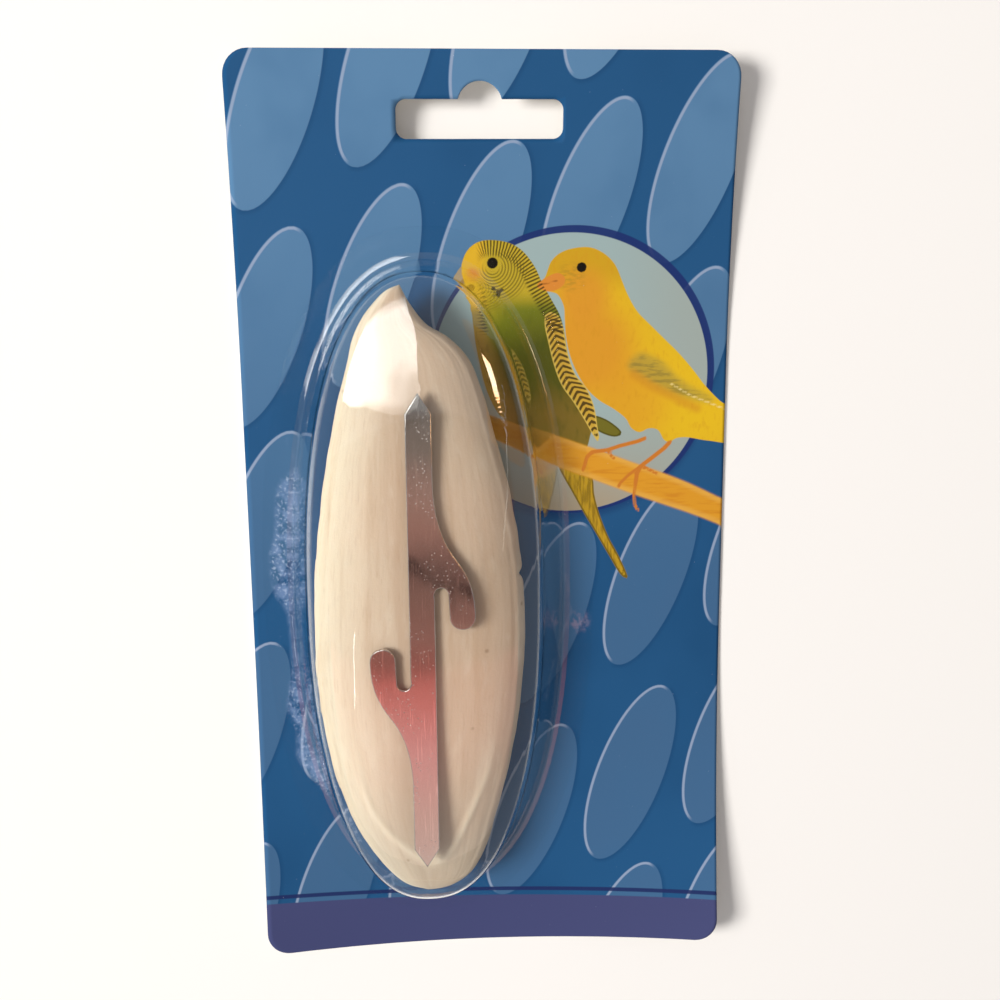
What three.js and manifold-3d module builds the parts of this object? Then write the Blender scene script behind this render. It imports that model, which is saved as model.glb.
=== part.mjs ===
// A cuttlebone for a cage bird, sealed with its steel cage clip under a clear
// dome on a printed hanging card. Millimetres, +Z up. The pack lies on the back
// of its card, with +X to the card's right and +Y towards its hang slot. The
// origin is below the middle of the card, on the surface that it lies on.
import * as THREE from 'three';
import { mergeVertices } from 'three/addons/utils/BufferGeometryUtils.js';
import Module from 'manifold-3d';

const wasm = await Module();
wasm.setup();

// Driving dimensions, in millimetres

const GAP = 0.3;                 // clearance kept between neighbouring pieces

const CARD_WIDTH = 100;
const CARD_LENGTH = 190;
const CARD_THICKNESS = 0.5;
const CARD_CORNER_RADIUS = 5;

const SLOT_X = -1.2;             // middle of the hang slot
const SLOT_WIDTH = 32.6;
const SLOT_BOTTOM = 78.7;
const SLOT_TOP = 86;
const SLOT_CORNER_RADIUS = 2;
const SLOT_BUMP_RADIUS = 4.4;    // round notch in the middle of the slot's top
const SLOT_BUMP_TOP = 89.3;

const CURL_TOP = 6;              // how far the card's top edge has lifted
const CURL_TOP_START = 30;       // Y from which the top curls
const CURL_CORNER = 4.5;         // lift of the lower edge, 50 mm from CURL_AXIS_X
const CURL_CORNER_START = -20;   // Y below which the lower corners curl
const CURL_AXIS_X = -10;         // the line along Y that stays down

const DOME_X = -12.6;            // middle of the dome's foot
const DOME_Y = -12.4;
const DOME_FOOT = [28.4, 68.1];  // half width and half length at the foot
const DOME_CROWN = [23.3, 65.15]; // the same where the wall turns into the top
const DOME_CROWN_SHIFT = [-0.8, 0.85];
const DOME_POWER = 2.3;          // 2 is an ellipse, more is squarer
const DOME_HEIGHT = 18.6;        // outer top above the flange's underside
const DOME_SHOULDER = 16.2;      // height where the wall turns into the top
const FLANGE_WIDTH = 6.5;
const WALL = 0.5;                // thickness of the clear sheet

const BONE_UNDERSIDE = CARD_THICKNESS + GAP;
const BONE_TOP = 16;             // highest point of the chalky face

const CLIP_X = -14.65;           // middle of the clip, round which it is symmetric
const CLIP_Y = -18.75;
const CLIP_UNDERSIDE = BONE_TOP + GAP;
const CLIP_THICKNESS = 0.8;
const CLIP_TIP = 49.4;           // middle to either pointed tip
const CLIP_SHOULDER = 45.3;      // middle to where a tip starts to narrow
const CLIP_HALF_WIDTH = 2.6;
const CLIP_HOOK_X = 8.1;         // middle of a hook's round end
const CLIP_HOOK_Y = 4.35;
const CLIP_SLOT_X = 3.9;         // middle of the slot between bar and hook
const CLIP_SLOT_Y = 9.15;
const CLIP_SLOT_RADIUS = 1.4;

// Shared surfaces and helpers

// How far the card has lifted off the surface at x, y: the top edge curls up
// evenly, and the two lower corners curl up on either side of the dome.
function curl(x, y) {
  const top = Math.max(0, (y - CURL_TOP_START) / (CARD_LENGTH / 2 - CURL_TOP_START));
  const low = Math.max(0, (CURL_CORNER_START - y) / (CARD_LENGTH / 2 + CURL_CORNER_START));
  const side = (x - CURL_AXIS_X) / (CARD_WIDTH / 2);
  return CURL_TOP * top * top + CURL_CORNER * low * low * side * side;
}

// A closed geometry from points and faces of three or four corners.
function geometryFrom(points, faces) {
  const geometry = new THREE.BufferGeometry();
  const index = faces.flatMap(([a, b, c, d]) => (d === undefined ? [a, b, c] : [a, b, c, a, c, d]));
  geometry.setAttribute('position', new THREE.Float32BufferAttribute(points.flat(), 3));
  geometry.setIndex(index);
  return geometry;
}

function toSolid(geometry) {
  const bare = geometry.clone();
  bare.deleteAttribute('normal');
  bare.deleteAttribute('uv');
  const merged = mergeVertices(bare, 1e-4);
  return new wasm.Manifold(new wasm.Mesh({
    numProp: 3,
    vertProperties: new Float32Array(merged.attributes.position.array),
    triVerts: new Uint32Array(merged.index.array),
  }));
}

function toGeometry(solid) {
  const { vertProperties, triVerts } = solid.getMesh();
  const geometry = new THREE.BufferGeometry();
  geometry.setAttribute('position', new THREE.BufferAttribute(vertProperties, 3));
  geometry.setIndex(new THREE.BufferAttribute(triVerts, 1));
  return geometry;
}

function steps(from, to, count) {
  return Array.from({ length: count + 1 }, (_, i) => from + (to - from) * i / count);
}

// Rings of points between two end points: a closed bag.
function bagOfRings(first, rings, last) {
  const around = rings[0].length;
  const points = [first, ...rings.flat(), last];
  const at = (r, i) => 1 + r * around + (i % around);
  const faces = [];
  for (let i = 0; i < around; i += 1) {
    faces.push([0, at(0, i + 1), at(0, i)]);
    faces.push([points.length - 1, at(rings.length - 1, i), at(rings.length - 1, i + 1)]);
    for (let r = 0; r + 1 < rings.length; r += 1) {
      faces.push([at(r, i), at(r, i + 1), at(r + 1, i + 1), at(r + 1, i)]);
    }
  }
  return geometryFrom(points, faces);
}

// Card

// A slab of grid squares that follows the curl, a little larger than the card.
function curledSlab() {
  const margin = 1;
  const halfWidth = CARD_WIDTH / 2 + margin;
  const halfLength = CARD_LENGTH / 2 + margin;
  const xs = steps(-halfWidth, halfWidth, 12);
  const ys = [
    ...steps(-halfLength, CURL_CORNER_START, 11),
    ...steps(CURL_TOP_START, halfLength, 13),
  ];
  const columns = xs.length;
  const layer = columns * ys.length;
  const points = [0, CARD_THICKNESS].flatMap((height) => ys.flatMap((y) => (
    xs.map((x) => [x, y, curl(x, y) + height]))));
  const faces = [];
  for (let j = 0; j + 1 < ys.length; j += 1) {
    for (let i = 0; i + 1 < columns; i += 1) {
      const a = j * columns + i;
      faces.push([a, a + columns, a + columns + 1, a + 1]);
      faces.push([layer + a, layer + a + 1, layer + a + columns + 1, layer + a + columns]);
    }
  }
  const wall = (a, b) => faces.push([a, b, layer + b, layer + a]);
  for (let i = 0; i + 1 < columns; i += 1) {
    wall(i, i + 1);
    wall(layer - 1 - i, layer - 2 - i);
  }
  for (let j = 0; j + 1 < ys.length; j += 1) {
    wall((j + 1) * columns - 1, (j + 2) * columns - 1);
    wall((j + 1) * columns, j * columns);
  }
  return geometryFrom(points, faces);
}

function cardOutline() {
  const r = CARD_CORNER_RADIUS;
  const x = CARD_WIDTH / 2 - r;
  const y = CARD_LENGTH / 2 - r;
  const outline = new THREE.Shape();
  outline.moveTo(-x, -y - r);
  outline.absarc(x, -y, r, -Math.PI / 2, 0, false);
  outline.absarc(x, y, r, 0, Math.PI / 2, false);
  outline.absarc(-x, y, r, Math.PI / 2, Math.PI, false);
  outline.absarc(-x, -y, r, Math.PI, 1.5 * Math.PI, false);
  return outline;
}

// The hang slot: a long slot with a half-round notch above its middle, so that
// a single peg centres the card and a double peg stops it from swinging.
function slotOutline() {
  const r = SLOT_CORNER_RADIUS;
  const left = SLOT_X - SLOT_WIDTH / 2;
  const right = SLOT_X + SLOT_WIDTH / 2;
  const bumpY = SLOT_BUMP_TOP - SLOT_BUMP_RADIUS;
  const meet = Math.asin((SLOT_TOP - bumpY) / SLOT_BUMP_RADIUS);
  const slot = new THREE.Shape();
  slot.moveTo(left + r, SLOT_BOTTOM);
  slot.absarc(right - r, SLOT_BOTTOM + r, r, -Math.PI / 2, 0, false);
  slot.absarc(right - r, SLOT_TOP - r, r, 0, Math.PI / 2, false);
  slot.absarc(SLOT_X, bumpY, SLOT_BUMP_RADIUS, meet, Math.PI - meet, false);
  slot.absarc(left + r, SLOT_TOP - r, r, Math.PI / 2, Math.PI, false);
  slot.absarc(left + r, SLOT_BOTTOM + r, r, Math.PI, 1.5 * Math.PI, false);
  return slot;
}

// A tall prism, standing well past both faces of the card.
function cutter(shape) {
  const depth = 40;
  const prism = new THREE.ExtrudeGeometry(shape, { depth, bevelEnabled: false, curveSegments: 6 });
  prism.translate(0, 0, -depth / 2);
  return toSolid(prism);
}

function makeCard() {
  const slab = toSolid(curledSlab());
  const solid = slab.intersect(cutter(cardOutline())).subtract(cutter(slotOutline()));
  const mesh = new THREE.Mesh(toGeometry(solid), new THREE.MeshStandardMaterial({
    color: 0x2f62a0, roughness: 0.35, metalness: 0,
  }));
  mesh.name = 'card';
  return mesh;
}

// Blister

// The dome's outline grown by `extra`, for `mix` from 0 at the foot to 1 at
// the crown.
function domePoint(angle, mix, extra) {
  const c = Math.cos(angle);
  const s = Math.sin(angle);
  const a = THREE.MathUtils.lerp(DOME_FOOT[0], DOME_CROWN[0], mix) + extra;
  const b = THREE.MathUtils.lerp(DOME_FOOT[1], DOME_CROWN[1], mix) + extra;
  const x = DOME_X + DOME_CROWN_SHIFT[0] * mix + a * Math.sign(c) * Math.abs(c) ** (2 / DOME_POWER);
  const y = DOME_Y + DOME_CROWN_SHIFT[1] * mix + b * Math.sign(s) * Math.abs(s) ** (2 / DOME_POWER);
  return [x, y];
}

// The clear sheet: a flat flange, a sloping wall, a rounded shoulder and a
// gently crowned top. It is open underneath, where the card closes it. Each
// row is [mix, extra, height], from the flange's edge over the outside to the
// top, then back down the inside to the flange's underside.
function blisterRows() {
  const crown = DOME_HEIGHT - DOME_SHOULDER;
  const outside = [
    [0, FLANGE_WIDTH, WALL],
    [0, 0.8, WALL],
    [0.06, 0, WALL + 0.9],
    [0.9, 0, 12.2],
    [1, -0.5, 14.6],
    [1, -1.6, DOME_SHOULDER],
    [1, -4, DOME_SHOULDER + 0.6 * crown],
    [1, -9, DOME_SHOULDER + 0.85 * crown],
    [1, -16, DOME_HEIGHT - 0.1],
  ];
  const inside = outside.slice(2).reverse().map(([mix, extra, height]) => [
    mix, extra - WALL * (height < DOME_SHOULDER ? 1 : 0.6), height - WALL * (height < 13 ? 0.25 : 0.95),
  ]);
  return { outside, inside, underside: [[0, -0.1, 0], [0, FLANGE_WIDTH, 0]] };
}

function makeBlister() {
  const around = 64;
  const lift = CARD_THICKNESS + 0.15;
  const ring = ([mix, extra, height]) => steps(0, 2 * Math.PI, around).slice(0, around)
    .map((angle) => {
      const [x, y] = domePoint(angle, mix, extra);
      return [x, y, curl(x, y) + lift + height];
    });
  const { outside, inside, underside } = blisterRows();
  const x = DOME_X + DOME_CROWN_SHIFT[0];
  const y = DOME_Y + DOME_CROWN_SHIFT[1];
  const outerTop = [x, y, curl(x, y) + lift + DOME_HEIGHT];
  const innerTop = [x, y, curl(x, y) + lift + DOME_HEIGHT - WALL];
  const rings = [...inside, ...underside, ...outside].map(ring);
  const mesh = new THREE.Mesh(bagOfRings(innerTop, rings, outerTop), new THREE.MeshStandardMaterial({
    color: 0xe8f0f4, roughness: 0.08, metalness: 0, transparent: true, opacity: 0.25,
  }));
  mesh.name = 'blister';
  return mesh;
}

// Cuttlebone

// The bone seen from above, from its broad lower end to its chipped tip: the
// left edge and the right edge, each as points [x, y] of a smooth line.
const BONE_LEFT = [
  [-14.6, -76.9], [-19.6, -74.9], [-24.4, -69.9], [-29.2, -62], [-31.8, -55.6], [-34, -48],
  [-36, -36.5], [-36.8, -24], [-36.4, -10], [-35.1, 2.4], [-33.2, 14.5], [-30.4, 28], [-28, 36.5],
  [-26.7, 41.5], [-24.4, 45.6], [-20.6, 49.7], [-17.6, 51],
];
const BONE_RIGHT = [
  [-14.6, -76.9], [-9.2, -75.9], [-4.6, -72.4], [-1.6, -66.5], [0.6, -59], [3.2, -48.8],
  [5.3, -37], [6.6, -23], [6.5, -11], [5.6, -2], [3.6, 10], [1, 20], [-1.7, 30], [-4.2, 36.2],
  [-8.2, 40.6], [-12.6, 43.4], [-15.6, 47.3], [-17.6, 51],
];
const BONE_END_RISE = [1, 0.6];  // how far the rim rises to the lower end and to the tip
const BONE_RIM = 8.4;            // the rim's height above the underside, at the middle

// x of an edge at a given y.
function edgeAt(points, y) {
  const next = Math.max(1, points.findIndex((point) => point[1] >= y));
  const [a, b] = [points[next - 1], points[next]];
  return a[0] + (b[0] - a[0]) * (y - a[1]) / (b[1] - a[1]);
}

function smoothEdge(points) {
  const curve = new THREE.CatmullRomCurve3(points.map(([x, y]) => new THREE.Vector3(x, y, 0)));
  return curve.getPoints(160).map((p) => [p.x, p.y]);
}

// One closed section of the bone across Y. The chalky upper face is crowned and
// steep at its edge, and the hard back below is shallower, like a boat's hull.
function boneSection(y, xLeft, xRight, around) {
  const halfLength = (BONE_RIGHT.at(-1)[1] - BONE_RIGHT[0][1]) / 2;
  const middle = BONE_RIGHT[0][1] + halfLength;
  const along = (y - middle) / halfLength;
  const rise = BONE_END_RISE[along < 0 ? 0 : 1] * along * along;
  const half = (xRight - xLeft) / 2;
  const fullness = Math.sqrt(Math.max(0, 1 - Math.abs(along) ** 2.6));
  const rim = BONE_UNDERSIDE + BONE_RIM + rise;
  const up = (BONE_TOP - BONE_UNDERSIDE - BONE_RIM - 0.62 * rise) * fullness;
  const down = BONE_RIM * fullness;
  return steps(0, 2 * Math.PI, around).slice(0, around).map((angle) => {
    const c = Math.cos(angle);
    const s = Math.sin(angle);
    const x = (xLeft + xRight) / 2 + half * Math.sign(c) * Math.abs(c) ** 0.86;
    const z = rim + (s > 0 ? up * s ** 0.9 : down * s);
    return [x, y, z];
  });
}

function makeCuttlebone() {
  const around = 36;
  const stations = 34;
  const left = smoothEdge(BONE_LEFT);
  const right = smoothEdge(BONE_RIGHT);
  const y0 = BONE_LEFT[0][1];
  const y1 = BONE_LEFT.at(-1)[1];
  const rings = [];
  for (let k = 1; k < stations; k += 1) {
    const y = (y0 + y1) / 2 + Math.cos(Math.PI * k / stations) * (y1 - y0) / 2;
    rings.push(boneSection(y, edgeAt(left, y), edgeAt(right, y), around));
  }
  const endZ = BONE_UNDERSIDE + BONE_RIM;
  const low = [BONE_LEFT[0][0], y0, endZ + BONE_END_RISE[0]];
  const tip = [BONE_LEFT.at(-1)[0], y1, endZ + BONE_END_RISE[1]];
  const mesh = new THREE.Mesh(bagOfRings(tip, rings, low), new THREE.MeshStandardMaterial({
    color: 0xe8d8bd, roughness: 0.85, metalness: 0,
  }));
  mesh.name = 'cuttlebone';
  return mesh;
}

// Clip

// A flat stamping, the same after half a turn: a straight bar pointed at both
// ends, with one hook on each side of its middle that slips over a cage wire.
function halfClip() {
  const w = CLIP_HALF_WIDTH;
  const hookRadius = CLIP_HOOK_X - CLIP_SLOT_X - CLIP_SLOT_RADIUS - 0.2;
  const shape = new THREE.Shape();
  shape.moveTo(0, CLIP_TIP);
  shape.lineTo(w, CLIP_SHOULDER);
  shape.lineTo(w, 31);
  shape.bezierCurveTo(w + 0.2, 26, w + 1, 22, w + 3, 18.4);
  shape.bezierCurveTo(w + 5, 15, CLIP_HOOK_X + hookRadius, 12.5, CLIP_HOOK_X + hookRadius, CLIP_HOOK_Y);
  shape.absarc(CLIP_HOOK_X, CLIP_HOOK_Y, hookRadius, 0, -Math.PI, true);
  shape.lineTo(CLIP_SLOT_X + CLIP_SLOT_RADIUS, CLIP_SLOT_Y);
  shape.absarc(CLIP_SLOT_X, CLIP_SLOT_Y, CLIP_SLOT_RADIUS, 0, Math.PI, false);
  shape.lineTo(w, -CLIP_SHOULDER);
  return shape.getPoints(8);
}

function makeClip() {
  const half = halfClip();
  const other = half.map((p) => new THREE.Vector2(-p.x, -p.y));
  const shape = new THREE.Shape([...half, ...other]);
  const geometry = new THREE.ExtrudeGeometry(shape, { depth: CLIP_THICKNESS, bevelEnabled: false });
  const mesh = new THREE.Mesh(geometry, new THREE.MeshStandardMaterial({
    color: 0x9a8f8c, roughness: 0.25, metalness: 1,
  }));
  mesh.name = 'clip';
  mesh.position.set(CLIP_X, CLIP_Y, CLIP_UNDERSIDE);
  return mesh;
}

const pack = new THREE.Group();
pack.add(makeCard(), makeBlister(), makeCuttlebone(), makeClip());

export default pack;
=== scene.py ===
import bpy
import numpy as np
from mathutils import Matrix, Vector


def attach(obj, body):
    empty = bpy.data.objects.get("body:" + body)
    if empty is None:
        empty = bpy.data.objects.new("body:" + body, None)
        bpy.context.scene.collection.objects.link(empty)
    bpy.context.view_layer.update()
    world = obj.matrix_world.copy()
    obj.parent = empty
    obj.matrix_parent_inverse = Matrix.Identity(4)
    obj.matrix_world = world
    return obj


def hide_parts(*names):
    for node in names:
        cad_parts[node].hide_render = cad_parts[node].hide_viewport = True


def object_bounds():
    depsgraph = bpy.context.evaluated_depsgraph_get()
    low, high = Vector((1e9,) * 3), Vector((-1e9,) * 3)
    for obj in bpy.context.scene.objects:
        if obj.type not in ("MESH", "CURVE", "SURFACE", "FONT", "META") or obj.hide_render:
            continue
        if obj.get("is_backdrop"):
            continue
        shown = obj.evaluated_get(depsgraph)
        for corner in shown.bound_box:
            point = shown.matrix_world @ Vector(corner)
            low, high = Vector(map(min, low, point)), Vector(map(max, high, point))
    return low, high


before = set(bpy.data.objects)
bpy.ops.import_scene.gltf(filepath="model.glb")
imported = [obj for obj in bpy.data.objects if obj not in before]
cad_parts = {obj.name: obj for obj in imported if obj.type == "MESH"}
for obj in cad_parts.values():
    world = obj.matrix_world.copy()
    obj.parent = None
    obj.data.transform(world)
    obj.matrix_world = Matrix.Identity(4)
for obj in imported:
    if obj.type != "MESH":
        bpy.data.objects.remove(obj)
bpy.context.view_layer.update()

# ---------------------------------------------------------------------------
# Camera: a phone held over the pack, above its hang end and a little left,
# and leaning back so that the card's lower end falls away.
LEAN, SWING, ROLL = 0.1979, 0.0802, 0.0084
CAMERA_PLACE = (-0.0170, 0.05577, 0.24707)
camera_data = bpy.data.cameras.new("camera")
camera_data.sensor_width = 36
camera_data.lens = 43.2
camera_data.clip_start, camera_data.clip_end = 0.01, 20
camera = bpy.data.objects.new("camera", camera_data)
camera_turn = (
    Matrix.Rotation(LEAN, 3, "X") @ Matrix.Rotation(SWING, 3, "Y") @ Matrix.Rotation(ROLL, 3, "Z")
).transposed()
camera.matrix_world = Matrix.Translation(CAMERA_PLACE) @ camera_turn.to_4x4()
bpy.context.scene.collection.objects.link(camera)
bpy.context.scene.camera = camera
bpy.context.scene.view_settings.view_transform = "Standard"


# ---------------------------------------------------------------------------
# Table and light: a pale table top in a soft room, and one broad studio light
# on the left. A window, a lamp and a red curtain hang above the pack, and only
# polished surfaces show them.
MM = 0.001


def linear(colour):
    """An sRGB hex colour as linear RGBA: v / 12.92, or ((v + 0.055) / 1.055) ** 2.4 above 0.04045."""
    parts = np.array([int(colour[i : i + 2], 16) / 255 for i in (1, 3, 5)])
    lit = np.where(parts <= 0.04045, parts / 12.92, ((parts + 0.055) / 1.055) ** 2.4)
    return (*lit.tolist(), 1.0)


def add(tree, kind, inputs=(), stops=(), **settings):
    """Adds a shader node. Settings go on the node. Inputs, listed in order or by name or place, are
    values, nodes (their first output in use) or (node, output). Stops are a ramp's [place, colour]."""
    made = tree.nodes.new("ShaderNode" + kind)
    for key, value in settings.items():
        setattr(made, key, value)
    for key, value in inputs.items() if isinstance(inputs, dict) else enumerate(inputs):
        if isinstance(value, tuple) and isinstance(value[0], bpy.types.Node):
            tree.links.new(value[0].outputs[value[1]], made.inputs[key])
        elif isinstance(value, bpy.types.Node):
            tree.links.new(next(o for o in value.outputs if o.enabled), made.inputs[key])
        elif value is not None:
            made.inputs[key].default_value = value
    for i, (place, colour) in enumerate(stops):
        ramp = made.color_ramp.elements
        stop = ramp[i] if i < 2 else ramp.new(place)
        stop.position, stop.color = place, linear(colour)
    return made


def new_material(name):
    """A material with no nodes yet, and its node tree."""
    material = bpy.data.materials.new(name)
    material.use_nodes = True
    material.node_tree.nodes.clear()
    return material, material.node_tree


def mesh_object(name, points, faces, materials):
    """A smooth mesh object at the origin from an (n, 3) array in millimetres and rows of corner
    numbers."""
    mesh = bpy.data.meshes.new(name)
    mesh.from_pydata((points * MM).tolist(), [], [list(face) for face in faces])
    for material in materials:
        mesh.materials.append(material)
    mesh.polygons.foreach_set("use_smooth", np.full(len(mesh.polygons), True))
    mesh.update()
    made = bpy.data.objects.new(name, mesh)
    bpy.context.scene.collection.objects.link(made)
    return made


TABLE_HALF, TABLE_DROP = 1500, 0.05
table_material, tree = new_material("pale_laminate")
surface = add(tree, "BsdfPrincipled", {"Base Color": linear("#f4f3f1"), "Roughness": 0.6})
add(tree, "OutputMaterial", [surface])
corner = np.array([[-1, -1], [1, -1], [1, 1], [-1, 1]]) * TABLE_HALF
table = mesh_object(
    "table_top", np.c_[corner, np.full(4, -TABLE_DROP)], [(0, 1, 2, 3)], [table_material]
)
table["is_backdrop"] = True

world = bpy.data.worlds.new("soft_room")
bpy.context.scene.world = world
world.use_nodes = True
tree = world.node_tree
tree.nodes.clear()
# The room is a little paler on the left.
gaze = add(tree, "SeparateXYZ", [(add(tree, "TexCoord"), "Generated")])
sideways = add(tree, "MapRange", [(gaze, "X"), -1, 1])
room = add(tree, "ValToRGB", [sideways], stops=[[0.0, "#c3c4c8"], [1.0, "#9d9b9e"], [0.55, "#aca8a6"]])
add(tree, "OutputWorld", [add(tree, "Background", [room, 0.88])])
bpy.context.scene.cycles.caustics_refractive = False
bpy.context.scene.cycles.caustics_reflective = False

KEY_PLACE = np.array([-1.80, 0.20, 1.58])
key_data = bpy.data.lights.new("low_softbox", "AREA")
key_data.size, key_data.energy, key_data.color = 0.8, 68, linear("#fffaf4")[:3]
key = bpy.data.objects.new("low_softbox", key_data)
back = KEY_PLACE / np.linalg.norm(KEY_PLACE)
side = np.cross((0, 1, 0), back)
side /= np.linalg.norm(side)
key.matrix_world = Matrix.Translation(KEY_PLACE) @ Matrix(
    np.array([side, np.cross(back, side), back]).T.tolist()
).to_4x4()
key.visible_glossy = key.visible_transmission = False
bpy.context.scene.collection.objects.link(key)


def hung_sheet(name, corners, height, stops, strength, axis, span):
    """A glowing sheet at a height over the pack, in metres, that lights nothing and shows only in
    polished surfaces. Its colour runs along the axis through the stops, over the span."""
    glow, tree = new_material(name)
    at = add(tree, "SeparateXYZ", [(add(tree, "TexCoord"), "Object")])
    along = add(tree, "MapRange", [(at, axis), *span])
    shade = add(tree, "ValToRGB", [along], stops=stops)
    add(tree, "OutputMaterial", [add(tree, "Emission", [shade, strength])])
    points = np.c_[np.array(corners) / MM, np.full(len(corners), height / MM)]
    sheet = mesh_object(name, points, [range(len(corners))], [glow])
    sheet.visible_camera = sheet.visible_diffuse = sheet.visible_shadow = False
    sheet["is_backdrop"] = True


# The window, brightest low down: it whitens the dome over the bone's tip.
hung_sheet(
    "window",
    [(-0.03, -0.085), (-0.019, -0.021), (-0.067, 0.12), (-0.15, 0.45), (-0.28, 0.52), (-0.48, 0.42),
     (-0.58, 0.25), (-0.52, 0.1), (-0.46, 0.0), (-0.31, -0.04), (-0.16, -0.066)], 1.0,
    [[0.0, "#4a4844"], [1.0, "#38393d"], [0.04, "#a8a5a0"], [0.075, "#fffdf8"], [0.4, "#fdfdfb"],
     [0.7, "#5a5b5f"]], 6.0, "Y", (-0.09, 0.5),
)
# The curtain, pale at its hem, then red, then brown in its folds: the clip mirrors it.
hung_sheet(
    "curtain", [(-0.5, -0.75), (0.42, -0.75), (0.42, -0.095), (-0.5, -0.095)], 1.0,
    [[0.0, "#d8c8c0"], [1.0, "#6e645d"], [0.20, "#d9b4a9"], [0.26, "#dbafa4"], [0.385, "#e59f9a"],
     [0.47, "#dc827b"], [0.52, "#cc736b"], [0.55, "#9c5d54"], [0.60, "#98695f"], [0.68, "#8a655b"],
     [0.73, "#7c5a52"], [0.80, "#a3786c"], [0.86, "#a37f73"], [0.93, "#85766d"], [0.97, "#7d7068"]], 1.3,
    "Y", (-0.70, -0.095),
)
# The curtain's dark rail, a band across the clip's upper hook.
hung_sheet(
    "curtain_rail", [(-0.04, -0.234), (0.06, -0.283), (0.06, -0.299), (-0.04, -0.25)], 0.99,
    [[0.0, "#4a3a36"], [1.0, "#3c2e2b"]], 1.0, "X", (-0.04, 0.06),
)
# A lamp and its wide shade on the right: one gold glint and a warm veil on the dome.
hung_sheet(
    "lamp", [(0.36, -0.02), (0.44, -0.03), (0.46, 0.055), (0.385, 0.06)], 1.0,
    [[0.0, "#ffb060"], [1.0, "#ffb877"], [0.5, "#fff0d0"]], 16.0, "Y", (-0.03, 0.075),
)
hung_sheet(
    "lamp_shade", [(0.24, -0.10), (2.2, -0.10), (2.6, 0.9), (0.32, 0.15)], 1.01,
    [[0.0, "#c98a3c"], [1.0, "#5a3a1c"], [0.35, "#c07c3a"]], 1.1, "X", (0.2, 2.6),
)
# Daylight through a gap in the curtain and beside the door: thin bright lines on the dome.
hung_sheet(
    "window_gap", [(-0.193, -0.315), (-0.236, -0.42), (-0.241, -0.42), (-0.198, -0.315)], 0.99,
    [[0.0, "#ffffff"], [1.0, "#ffffff"]], 9.0, "Y", (-0.5, -0.2),
)
hung_sheet(
    "door_gap",
    [(0.258, -0.24), (0.263, -0.24), (0.357, -0.107), (0.73, 0.068), (0.72, 0.075), (0.352, -0.105)],
    0.99, [[0.0, "#fff1de"], [1.0, "#ffffff"]], 2.5, "Y", (-0.3, 0.1),
)

# ---------------------------------------------------------------------------
# Card: half-millimetre white board, printed on its face in four colours and
# varnished, its corners rounded and its hang slot punched by one steel rule
# die. Its top edge and its two lower corners have curled up.
CARD_WIDTH, CARD_LENGTH, BOARD, CORNER = 100, 190, 0.5, 5
SLOT_LEFT, SLOT_RIGHT, SLOT_BOTTOM, SLOT_TOP, SLOT_CORNER = -17.5, 15.1, 78.7, 86, 2
NOTCH_X, NOTCH_Y, NOTCH_RADIUS = -1.2, 84.9, 4.4
TOP_CURL, CORNER_CURL = 6, 4.5


def curl(x, y):
    """Lift of the card at x, y: TOP_CURL at the top edge, growing as the square of the distance from
    y = 30, plus CORNER_CURL times ((x + 10) / 50) ** 2 at the lower edge, growing likewise from
    y = -20."""
    top = np.maximum(0, (y - 30) / 65)
    low = np.maximum(0, (-20 - y) / 75)
    return TOP_CURL * top**2 + CORNER_CURL * low**2 * ((x + 10) / 50) ** 2


def lines(*spans):
    """Grid lines through the spans (from, to, spacing), each span split evenly."""
    parts = [np.linspace(a, b, round((b - a) / gap) + 1) for a, b, gap in spans]
    return np.unique(np.concatenate(parts).round(4))


def grid_quads(rows, columns, keep):
    """Corner numbers of the cells of a grid that are kept, row after row, turning left."""
    first = (np.arange(rows - 1)[:, None] * columns + np.arange(columns - 1))[keep]
    return np.stack([first, first + 1, first + columns + 1, first + columns], 1)


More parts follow.
